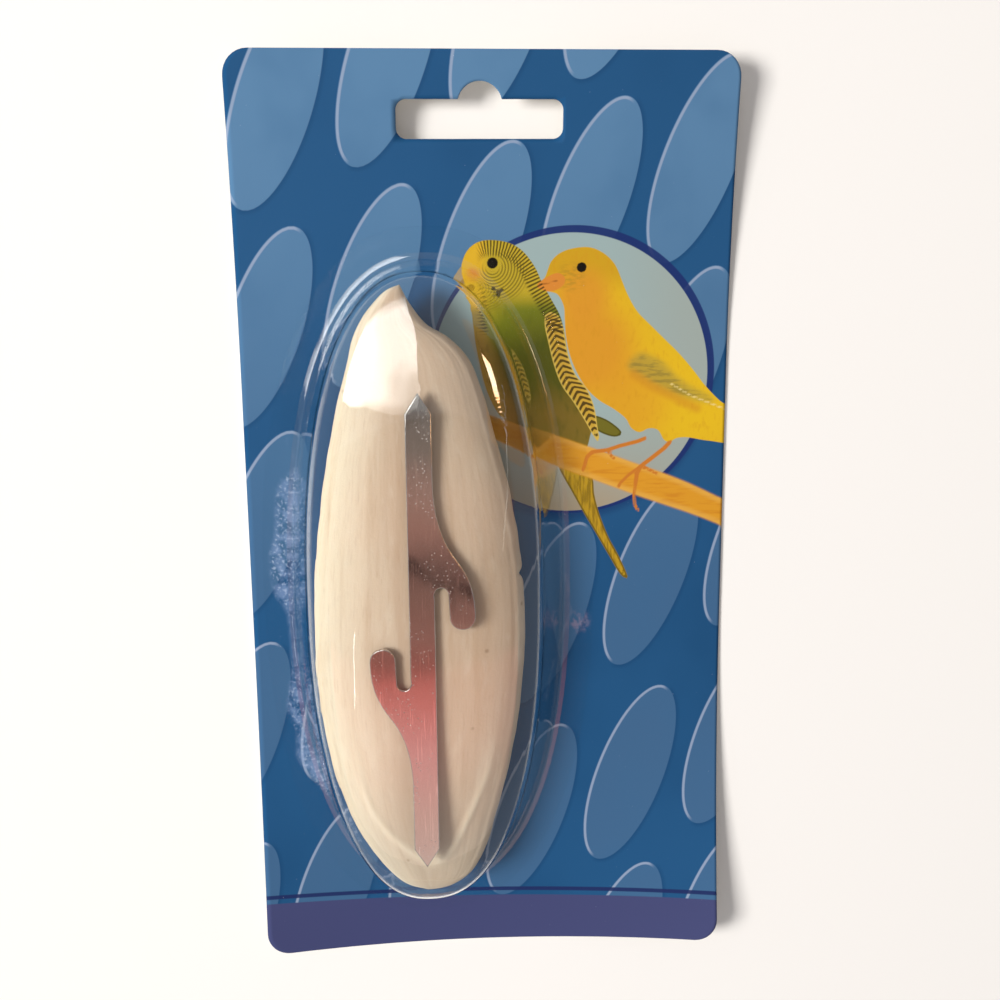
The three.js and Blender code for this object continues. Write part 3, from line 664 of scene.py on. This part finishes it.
def bone_surface():
    """The bone as rings across y. A ring runs from the right edge over the face to the left and back
    underneath: x is the middle plus the half width times cos to the power 0.86, and z is the rim plus
    its height times sin to the power 0.9 above, or its depth times sin below. Both shrink towards the
    ends. Lengthwise grain, slow waves, the step down from the rim, a growth ridge round the low end and
    a nick in the right edge are then added. Returns the points and, for each, across (-1 to 1), upper
    and ridge (0 to 1)."""
    low, tip = BONE_LEFT[0][1], BONE_LEFT[-1][1]
    turn = np.linspace(0, np.pi, STATIONS + 1)[1:-1, None]
    at = (tip + low) / 2 + np.cos(turn) * (tip - low) / 2
    angle = np.linspace(0, 2 * np.pi, ROUND, endpoint=False)[None]
    c, s = np.cos(angle), np.sin(angle)
    left, right = edge_x(BONE_LEFT, at), edge_x(BONE_RIGHT, at)
    span = np.cos(turn)
    rise = np.where(span < 0, LOW_RISE, TIP_RISE) * span**2
    full = np.sqrt(1 - np.abs(span) ** 2.6)
    up = (BONE_TOP - BONE_UNDERSIDE - BONE_RIM - 0.62 * rise) * full
    across = np.sign(c) * np.abs(c) ** 0.86 + 0 * at
    px = (left + right) / 2 + (right - left) / 2 * across
    pz = BONE_UNDERSIDE + BONE_RIM + rise + np.where(s > 0, up * np.abs(s) ** 0.9, BONE_RIM * full * s)
    py = at + 0 * angle
    upper = np.clip(s / 0.05, 0, 1) + 0 * at
    inward = (1 - np.abs(across)) * (right - left) / 2
    along = at + 0 * across
    grain = wander(across * 26, along * 0.05, 3) + 0.6 * wander(across * 60, along * 0.12, 4)
    waves = wander(px * 0.22, py * 0.10, 5)
    ring = np.hypot(across, np.clip((-42 - at) / 35, 0, None) ** 1.2)
    ridge = np.exp(-(((ring - 0.72 - 0.03 * waves) / 0.05) ** 2)) * np.clip((-40 - at) / 16, 0, 1)
    step = -RIM_STEP * np.clip((inward - RIM_WIDTH) / 0.8, 0, 1) * (full > 0.35)
    nick = 0.9 * np.exp(-(((py - NICK_Y) / 0.9) ** 2) - ((px - NICK_X) / 1.1) ** 2)
    detail = np.where(s > 0.02, 0.03 * grain + 0.16 * waves + 0.3 * ridge + step - 0.14, 0.06 * waves)
    pz = pz + detail * np.clip(full * 2.5, 0, 1)
    px = px - nick + 0.10 * wander(py * 0.5, 0 * py, 8) * (1 - np.abs(s)) * np.sign(c)
    return np.stack([px, py, pz], -1), across, upper, ridge * upper


def tube_quads(rings, around):
    """Corner numbers of the quads between neighbouring rings, ring after ring. Their corners taken in
    the order 0, 3, 2, 1 face them the other way."""
    first = np.arange(rings - 1)[:, None] * around
    here = np.arange(around)
    after = (here + 1) % around
    corners = [first + here, first + after, first + around + after, first + around + here]
    return np.stack(corners, -1).reshape(-1, 4)


def pole_fans(rings, around):
    """Corner numbers of the triangles that close the first ring and then the last, each to a pole.
    The two poles come after all the rings' points. The order 0, 2, 1 faces them the other way."""
    here = np.arange(around)
    after = (here + 1) % around
    last = (rings - 1) * around
    pole = np.full(around, rings * around)
    return np.concatenate([
        np.stack([pole, after, here], 1), np.stack([pole + 1, last + here, last + after], 1)])


points, across, upper, ridge = bone_surface()
faces = [*tube_quads(*across.shape), *pole_fans(*across.shape)]
rim_height = BONE_UNDERSIDE + BONE_RIM
ends = np.array([(*BONE_LEFT[-1], rim_height + TIP_RISE), (*BONE_LEFT[0], rim_height + LOW_RISE)])

# Cuttlebone: chalk laid down in fine layers, dull and powdery, cream to peach and
# mottled, with a faint lengthwise grain that follows its outline. Its left side is paler,
# partly its own tone and partly painted light from the left, and a few dark specks are
# painted shade for pits that the shape does not have. Its powder is finer than 0.1 mm
# and is drawn 0.7 mm coarse, so that it shows.
chalk, tree = new_material("cuttlebone_chalk")
spot = (add(tree, "TexCoord"), "Object")
where = add(tree, "SeparateXYZ", [spot])
across_here = (add(tree, "Attribute", attribute_name="across", attribute_type="GEOMETRY"), "Fac")
upper_here = (add(tree, "Attribute", attribute_name="upper", attribute_type="GEOMETRY"), "Fac")
ridge_here = (add(tree, "Attribute", attribute_name="ridge", attribute_type="GEOMETRY"), "Fac")
# Across the face: paler over the left third, darker right of the middle; partly the bone's own tone, partly
# painted light from the left.
tone = add(tree, "ValToRGB", [add(tree, "MapRange", [across_here, -1.0, 1.0])],
           stops=[[0.0, "#d9caae"], [1.0, "#c9b39a"], [0.08, "#dfd3bb"], [0.22, "#dccab2"],
                  [0.40, "#c6ae96"], [0.60, "#cfb79e"], [0.85, "#cfb89f"]])
CHALK_GRAIN = [  # stripes over the width, over the length in waves a metre, two limits, colour, strength
    (5.0, 26, 0.50, 0.70, "#b89878", 0.30),
    (5.0, 26, 0.48, 0.30, "#ddcdb6", 0.40),
    (24.0, 40, 0.52, 0.75, "#b39478", 0.18),
    (60.0, 260, 0.52, 0.75, "#ab8a6e", 0.22),
    (9.0, 150, 0.55, 0.72, "#e6d9c4", 0.20),
]
for stripes, waves, low, high, colour, strength in CHALK_GRAIN:
    cross = add(tree, "Math", [across_here, stripes], operation="MULTIPLY")
    along = add(tree, "Math", [(where, "Y"), waves], operation="MULTIPLY")
    grid = add(tree, "CombineXYZ", [cross, along, 0.0])
    grain = add(tree, "TexNoise", {"Vector": grid, "Scale": 1.0, "Detail": 4.0, "Distortion": 0.4})
    mask = add(tree, "MapRange", [(grain, "Fac"), low, high, 0, strength], interpolation_type="SMOOTHSTEP")
    tone = add(tree, "Mix", {0: mask, 6: tone, 7: linear(colour)}, data_type="RGBA")
low_part = add(tree, "MapRange", [(where, "Y"), -0.040, -0.072, 0, 0.5], interpolation_type="SMOOTHSTEP")
tone = add(tree, "Mix", {0: low_part, 6: tone, 7: linear("#b8ab97")}, data_type="RGBA")
raised = add(tree, "Math", [ridge_here, 0.55], operation="MULTIPLY")
tone = add(tree, "Mix", {0: raised, 6: tone, 7: linear("#e0d3bb")}, data_type="RGBA")
# Painted shade: dark specks where pits would be, hollows that the shape does not have.
pits = add(tree, "TexVoronoi", {"Vector": spot, "Scale": 120.0})
painted_pit_shade = add(tree, "MapRange", [(pits, "Distance"), 0.07, 0.03, 0, 0.5])
tone = add(tree, "Mix", {0: painted_pit_shade, 6: tone, 7: linear("#8d7458")}, data_type="RGBA")
tone = add(tree, "Mix", {0: upper_here, 6: linear("#d6c9ae"), 7: tone}, data_type="RGBA")
powder = add(tree, "TexNoise", {"Vector": spot, "Scale": 1500.0, "Detail": 4.0})
chalk_bump = add(tree, "Bump", {"Strength": 0.3, "Distance": 0.00015, "Height": (powder, "Fac")})
surface = add(tree, "BsdfPrincipled", {
    "Base Color": tone, "Roughness": 0.85, "Normal": chalk_bump, "Subsurface Weight": 0.35,
    "Subsurface Radius": (1, 0.85, 0.7), "Subsurface Scale": 0.005, "Specular IOR Level": 0.3,
})
add(tree, "OutputMaterial", [surface])
bone = mesh_object("cuttlebone_chalk", np.concatenate([points.reshape(-1, 3), ends]), faces, [chalk])
for name, values in {"across": across, "upper": upper, "ridge": ridge}.items():
    give_points(bone, name, np.append(values.ravel(), [0, 0]))
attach(bone, "root")
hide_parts("cuttlebone")

# ---------------------------------------------------------------------------
# Clip: one flat stamping of bright steel strip, pointed at both ends, with a
# hook on each side that slips over a cage wire. It lies loose on the bone.
CLIP_MIDDLE, CLIP_UNDERSIDE, CLIP_THICKNESS = (-14.65, -18.75), 16.3, 0.8
STRIP_HALF, CLIP_HALF, SHOULDER = 2.6, 49.4, 45.3


def bezier(points, count=14):
    """A cubic curve through its end points: weights (1-t)^3, 3t(1-t)^2, 3t^2(1-t), t^3."""
    t = np.linspace(0, 1, count)[:, None]
    a, b, c, d = np.array(points, float)
    return (1 - t) ** 3 * a + 3 * t * (1 - t) ** 2 * b + 3 * t**2 * (1 - t) * c + t**3 * d


def arc(middle, radius, start, end, count=12):
    """Points on a circle from angle start to end, in degrees."""
    angle = np.radians(np.linspace(start, end, count))[:, None]
    return np.array(middle) + radius * np.concatenate([np.cos(angle), np.sin(angle)], 1)


def inset(loop, distance):
    """The closed outline moved in: each corner goes along the mean of its two sides' normals, by the
    distance over the cosine of half the turn there."""
    step = np.roll(loop, -1, 0) - loop
    normal = np.stack([step[:, 1], -step[:, 0]], 1) / np.hypot(*step.T)[:, None]
    mean = normal + np.roll(normal, 1, 0)
    return loop + 2 * distance * mean / (mean**2).sum(1)[:, None]


# Half the outline: the point, the strip widening into the hook, the hook's round end, the
# round head of the gap that takes the cage wire, and the strip's straight side. The other
# half is the same, turned half round.
half_clip = np.concatenate([
    [(0, CLIP_HALF), (STRIP_HALF, SHOULDER)],
    bezier([(STRIP_HALF, 31), (2.8, 26), (3.6, 22), (5.6, 18.4)]),
    bezier([(5.6, 18.4), (7.6, 15), (10.7, 12.5), (10.7, 4.35)])[1:],
    arc((8.1, 4.35), 2.6, 0, -180)[1:],
    arc((3.9, 9.15), 1.4, 0, 180),
    [(2.55, 8.8), (STRIP_HALF, 8.3), (STRIP_HALF, -SHOULDER)],
])
outline = np.concatenate([half_clip, -half_clip]) + CLIP_MIDDLE
# The edge's steps inwards and up from below, and inwards and down from the top, where the
# die has rounded it more.
under_roll = [(0.10, 0), (0.03, 0.03), (0, 0.10)]
top_roll = [(0, 0.2), (0.02, 0.12), (0.07, 0.05), (0.14, 0.01), (0.22, 0)]
rim = under_roll + [(near, CLIP_THICKNESS - down) for near, down in top_roll]
levels = [np.c_[inset(outline, near), np.full(len(outline), CLIP_UNDERSIDE + up)] for near, up in rim]
sides = tube_quads(len(rim), len(outline))[:, [0, 3, 2, 1]]
underside = np.arange(len(outline))
top = (underside + (len(rim) - 1) * len(outline))[::-1]

# Bright steel strip, cold rolled and then stamped: a clear but slightly soft mirror with
# rolling lines 0.4 mm apart and 17 mm long, scratches from handling, and tiny dents that
# catch the light. The lines and dents are drawn a few times coarser than real ones.
steel, tree = new_material("stamped_bright_steel")
spot = (add(tree, "TexCoord"), "Object")
marks = []
for turned, scale in [(0.03, (2600, 60, 1)), (0.5, (3200, 130, 1)), (-0.9, (2600, 110, 1))]:
    lines_at = add(tree, "Mapping", [spot, None, (0, 0, turned), scale])
    noise = add(tree, "TexNoise", {"Vector": lines_at, "Scale": 1.0, "Detail": 3.0})
    marks.append(add(tree, "MapRange", [(noise, "Fac"), 0.60, 0.72], interpolation_type="SMOOTHSTEP"))
scratched = add(tree, "Math", marks[1:], operation="MAXIMUM")
drawn = add(tree, "Math", [marks[0], 0.4, scratched], operation="MULTIPLY_ADD")
dents = add(tree, "TexVoronoi", {"Vector": spot, "Scale": 1300.0})
dent = add(tree, "MapRange", [(dents, "Distance"), 0.2, 0.1], interpolation_type="SMOOTHSTEP")
height = add(tree, "Math", [dent, -0.8, drawn], operation="MULTIPLY_ADD")
steel_bump = add(tree, "Bump", {"Strength": 0.2, "Distance": 0.00001, "Height": height})
cloud = add(tree, "TexNoise", {"Vector": spot, "Scale": 160.0, "Detail": 3.0})
rough = add(tree, "MapRange", [(cloud, "Fac"), 0.35, 0.7, 0.03, 0.09])
pitted = add(tree, "MapRange", [(cloud, "Fac"), 0.46, 0.56, 0, 0.55])
rough = add(tree, "Math", [dent, pitted, rough], operation="MULTIPLY_ADD")
bare = add(tree, "Mix", {0: scratched, 6: linear("#cfc9c5"), 7: linear("#ebe7e4")}, data_type="RGBA")
surface = add(tree, "BsdfPrincipled", {
    "Base Color": bare, "Metallic": 1.0, "Roughness": rough, "Normal": steel_bump,
})
add(tree, "OutputMaterial", [surface])
clip = mesh_object("clip_steel", np.concatenate(levels), [*sides, underside, top], [steel])
clip.data.polygons[-1].use_smooth = clip.data.polygons[-2].use_smooth = False
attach(clip, "root")
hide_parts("clip")

# ---------------------------------------------------------------------------
# Blister: one clear sheet, 0.3 mm thick, drawn by vacuum over a mould, with a
# flange that a hot plate has sealed to the card.
DOME_MIDDLE, DOME_FOOT, DOME_CROWN = (-12.6, -12.4), (28.4, 68.1), (23.8, 65.15)
DOME_SHIFT, DOME_POWER = (-1.2, 0.85), 2.3
SHEET, LIFT, FLANGE_INNER = 0.3, BOARD + 0.05, 1.2
UPWARD, AROUND = 106, 288
DOME_ROWS = np.array([
    # mix from foot to crown, outline's growth, height over the flange's underside
    (0, 6.5, 0.02), (0, 6.1, 0.08), (0, 5.2, 0.22), (0, 4.0, 0.3), (0, 1.6, 0.31), (0, 0.5, 0.33),
    (0, 0.2, 0.42), (0.01, 0.05, 0.65), (0.04, 0, 1.2), (0.3, 0, 4.6), (0.6, 0, 8.4), (0.9, 0, 12.2),
    (0.97, -0.15, 13.8), (1, -0.4, 14.8), (1, -0.9, 15.8), (1, -1.6, 16.5), (1, -2.6, 17.1),
    (1, -4, 17.55), (1, -6, 17.9), (1, -9, 18.2), (1, -13, 18.4), (1, -18, 18.52), (1, -22.9, 18.56),
])


def dome_outside(mix, grown, height, angle):
    """The sheet's outer face. Its plan is an ellipse with the power 2.3 in place of 2, its half
    sizes and middle going from the foot's to the crown's by mix, then grown. It rides on the card's
    curl, and above its foot it wanders up and down by 0.04."""
    c, s = np.cos(angle), np.sin(angle)
    a = DOME_FOOT[0] + (DOME_CROWN[0] - DOME_FOOT[0]) * mix + grown
    b = DOME_FOOT[1] + (DOME_CROWN[1] - DOME_FOOT[1]) * mix + grown
    dx = DOME_MIDDLE[0] + DOME_SHIFT[0] * mix + a * np.sign(c) * np.abs(c) ** (2 / DOME_POWER)
    dy = DOME_MIDDLE[1] + DOME_SHIFT[1] * mix + b * np.sign(s) * np.abs(s) ** (2 / DOME_POWER)
    dz = curl(dx, dy) + LIFT + height
    dz = dz + 0.04 * wander(dx * 0.25, dy * 0.2, 11) * np.clip((height - 2) / 8, 0, 1)
    return np.stack([dx, dy, dz], -1)


# The profile's rows are spread out evenly and smoothed by a mean with weights 1, 3, 5, 3, 1.
# The inner face is the outer one moved in by the sheet, and it stays above the card.
row_at = np.linspace(0, len(DOME_ROWS) - 1, UPWARD)
profile = np.stack([np.interp(row_at, np.arange(len(DOME_ROWS)), DOME_ROWS[:, k]) for k in range(3)], 1)
even = np.array([1, 3, 5, 3, 1]) / 13
profile[2:-2] = np.stack([np.convolve(profile[:, k], even, "valid") for k in range(3)], 1)
angle = np.linspace(0, 2 * np.pi, AROUND, endpoint=False)
outer = dome_outside(profile[:, :1], profile[:, 1:2], profile[:, 2:3], angle[None])
normal = np.cross(np.roll(outer, -1, 1) - np.roll(outer, 1, 1), np.gradient(outer, axis=0))
normal /= np.linalg.norm(normal, axis=-1, keepdims=True)
inner = outer - SHEET * normal
inner[..., 2] = np.maximum(inner[..., 2], curl(inner[..., 0], inner[..., 1]) + LIFT)
rings = np.concatenate([outer[::-1], inner])
sides = tube_quads(len(rings), AROUND)[:, [0, 3, 2, 1]]
caps = pole_fans(len(rings), AROUND)[:, [0, 2, 1]]

# Clear copolyester sheet, vacuum formed: glass-clear and glossy, with ripples of 9 mm from
# the mould, wrinkles 1 mm apart at its upper right shoulder, and drawing lines 1.4 mm apart
# on its wall, which the wall attribute holds to it.
clear, tree = new_material("thermoformed_clear_sheet")
spot = (add(tree, "TexCoord"), "Object")
ripple = add(tree, "TexNoise", {"Vector": spot, "Scale": 110.0, "Detail": 1.0})
away = (add(tree, "VectorMath", [spot, (0.002, 0.0285, 0.018)], operation="DISTANCE"), "Value")
wrinkled = add(tree, "MapRange", [away, 0.006, 0.001, 0, 1.0], interpolation_type="SMOOTHSTEP")
wrinkle_at = add(tree, "Mapping", [spot, None, (0, 0, 0.3), (300, 900, 300)])
wrinkles = add(tree, "TexNoise", {"Vector": wrinkle_at, "Scale": 1.0, "Detail": 1.0})
height = add(tree, "Math", [(wrinkles, "Fac"), wrinkled, (ripple, "Fac")], operation="MULTIPLY_ADD")
wall_here = (add(tree, "Attribute", attribute_name="wall", attribute_type="GEOMETRY"), "Fac")
drawn_at = add(tree, "VectorMath", [spot, (700, 700, 30)], operation="MULTIPLY")
drawn = add(tree, "TexNoise", {"Vector": drawn_at, "Scale": 1.0, "Detail": 1.0})
height = add(tree, "Math", [(drawn, "Fac"), wall_here, height], operation="MULTIPLY_ADD")
sheet_bump = add(tree, "Bump", {"Strength": 0.2, "Distance": 0.00012, "Height": height})
surface = add(tree, "BsdfPrincipled", {
    "Base Color": linear("#fafcfc"), "Roughness": 0.02, "IOR": 1.57, "Transmission Weight": 1.0,
    "Normal": sheet_bump,
})
add(tree, "OutputMaterial", [surface])

# The same sheet where the hot plate has fused it to the varnish: there is no air left
# under it, so it mirrors little, and it has taken the plate's texture, drawn 0.7 mm coarse.
fused, tree = new_material("heat_sealed_clear_flange")
spot = (add(tree, "TexCoord"), "Object")
plate = add(tree, "TexNoise", {"Vector": spot, "Scale": 1500.0, "Detail": 2.0})
plate_bump = add(tree, "Bump", {"Strength": 0.15, "Distance": 0.00003, "Height": (plate, "Fac")})
surface = add(tree, "BsdfPrincipled", {
    "Base Color": linear("#fafcfc"), "Roughness": 0.03, "IOR": 1.08, "Transmission Weight": 1.0,
    "Normal": plate_bump,
})
add(tree, "OutputMaterial", [surface])
poles = [outer[-1].mean(0), inner[-1].mean(0)]
points = np.concatenate([rings.reshape(-1, 3), poles])
blister = mesh_object("blister_sheet", points, [*sides, *caps], [clear, fused])
wall = np.clip((profile[:, 2] - 1) / 3, 0, 1) * np.clip((14 - profile[:, 2]) / 2, 0, 1) * 0.6
wall = np.concatenate([wall[::-1], wall])
give_points(blister, "wall", np.append(np.repeat(wall, AROUND), [0, 0]))
# The flange is where the outline has grown past FLANGE_INNER.
flat = profile[:, 1] > FLANGE_INNER
flat = np.concatenate([flat[::-1], flat])
sealed = np.append(np.repeat(flat[1:] & flat[:-1], AROUND), np.zeros(len(caps)))
blister.data.polygons.foreach_set("material_index", sealed.astype(np.int32))
blister.visible_shadow = blister.visible_diffuse = False
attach(blister, "root")
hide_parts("blister")

# ---------------------------------------------------------------------------
# The box round every shown piece but the backdrops.
low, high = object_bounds()
